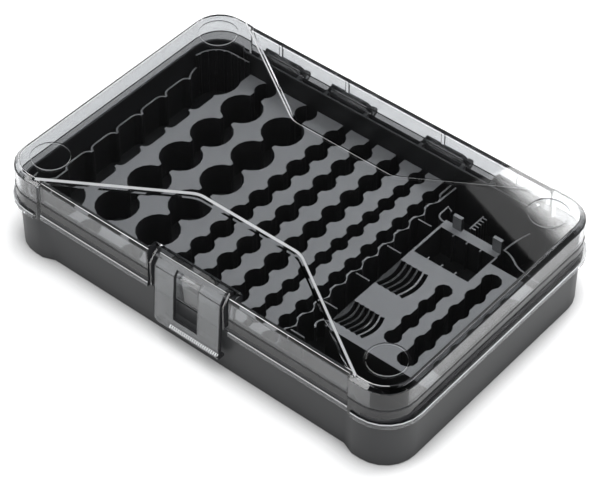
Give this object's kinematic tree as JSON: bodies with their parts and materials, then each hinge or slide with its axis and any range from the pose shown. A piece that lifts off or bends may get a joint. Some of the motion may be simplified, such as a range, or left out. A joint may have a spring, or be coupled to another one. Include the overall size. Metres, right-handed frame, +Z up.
{
  "type": "battery box",
  "caption": "Flat storage box for batteries: dark tub with cell trays, clear hinged lid with a bow-tie ridge and a clear drop-down front latch.",
  "frame": {"origin": "centre of the tub's flat underside, on the surface that the box stands on", "axes": "+X to the right along the long side, +Y from the latch to the hinges, +Z up through the lid"},
  "size_m": [0.3082, 0.2067, 0.0655],
  "materials": {
    "dark_plastic": "satin dark grey, finely grained",
    "tray_plastic": "satin dark grey, finely grained",
    "clear_plastic": "clear, polished"
  },
  "bodies": {
    "base": {"tub": "dark_plastic", "cell_tray": "tray_plastic", "hinge_pin_1": "dark_plastic", "hinge_pin_2": "dark_plastic", "hinge_pin_3": "dark_plastic", "hinge_pin_4": "dark_plastic"},
    "small_tray": {"small_cell_tray": "tray_plastic"},
    "lid": {"lid": "clear_plastic"},
    "latch": {"latch": "clear_plastic"}
  },
  "joints": [
    {"name": "lid_hinge", "type": "hinge", "parent": "base", "child": "lid", "pos_m": [0, 0.1015, 0.042], "axis": [-1, 0, 0], "range_deg": [0, 110]},
    {"name": "latch_hinge", "type": "hinge", "parent": "lid", "child": "latch", "pos_m": [0, -0.0933, 0.06], "axis": [-1, 0, 0], "range_deg": [0, 90]},
    {"name": "small_tray_lift", "type": "slide", "parent": "base", "child": "small_tray", "axis": [0, 0, 1], "range_m": [0, 0.02]}
  ]
}
